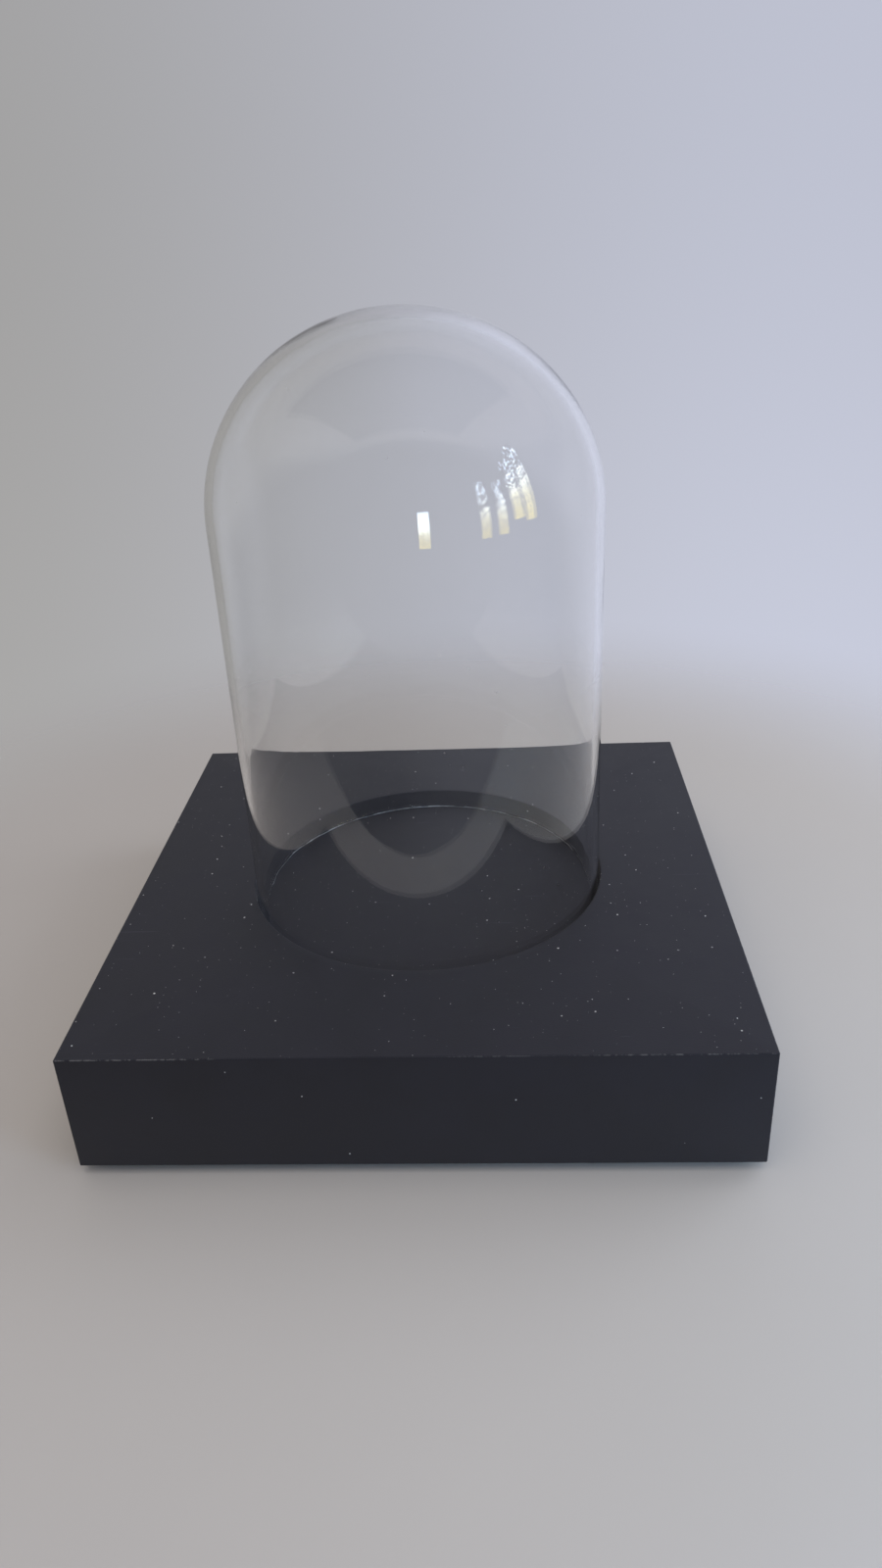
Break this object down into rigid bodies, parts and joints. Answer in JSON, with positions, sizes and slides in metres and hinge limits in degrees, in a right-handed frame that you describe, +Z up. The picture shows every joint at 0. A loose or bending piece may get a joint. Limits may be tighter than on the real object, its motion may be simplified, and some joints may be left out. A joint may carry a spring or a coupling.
{
  "type": "bell jar dome",
  "caption": "Clear glass display dome that lifts off a square charcoal plinth, standing in a round well routed in the plinth's top.",
  "frame": {"origin": "centre of the square footprint, on the surface that the rubber feet stand on", "axes": "+Z up along the dome's axis, -Y towards the plinth's front, +X to the right seen from the front"},
  "size_m": [0.3, 0.3, 0.3401],
  "materials": {
    "clear_glass": "clear blown soda-lime glass, polished, fire-polished rim",
    "charcoal_lacquer": "matte charcoal lacquer on fibreboard, faint stipple, dust and edge wear",
    "raw_board": "bare sawn softwood glue block",
    "black_rubber": "matte moulded rubber",
    "zinc_steel": "bright zinc plate"
  },
  "bodies": {
    "plinth": {"top_panel": "charcoal_lacquer", "front_panel": "charcoal_lacquer", "right_panel": "charcoal_lacquer", "back_panel": "charcoal_lacquer", "left_panel": "charcoal_lacquer", "bottom_panel": "charcoal_lacquer", "corner_block_front_left": "raw_board", "bottom_screw_front_left": "zinc_steel", "rubber_foot_front_left": "black_rubber", "foot_washer_front_left": "zinc_steel", "foot_screw_front_left": "zinc_steel", "corner_block_front_right": "raw_board", "bottom_screw_front_right": "zinc_steel", "rubber_foot_front_right": "black_rubber", "foot_washer_front_right": "zinc_steel", "foot_screw_front_right": "zinc_steel", "corner_block_back_right": "raw_board", "bottom_screw_back_right": "zinc_steel", "rubber_foot_back_right": "black_rubber", "foot_washer_back_right": "zinc_steel", "foot_screw_back_right": "zinc_steel", "corner_block_back_left": "raw_board", "bottom_screw_back_left": "zinc_steel", "rubber_foot_back_left": "black_rubber", "foot_washer_back_left": "zinc_steel", "foot_screw_back_left": "zinc_steel"},
    "dome": {"glass_dome": "clear_glass"}
  },
  "joints": [
    {"name": "dome_lift", "type": "slide", "parent": "plinth", "child": "dome", "axis": [0, 0, 1], "range_m": [0, 0.3]}
  ]
}
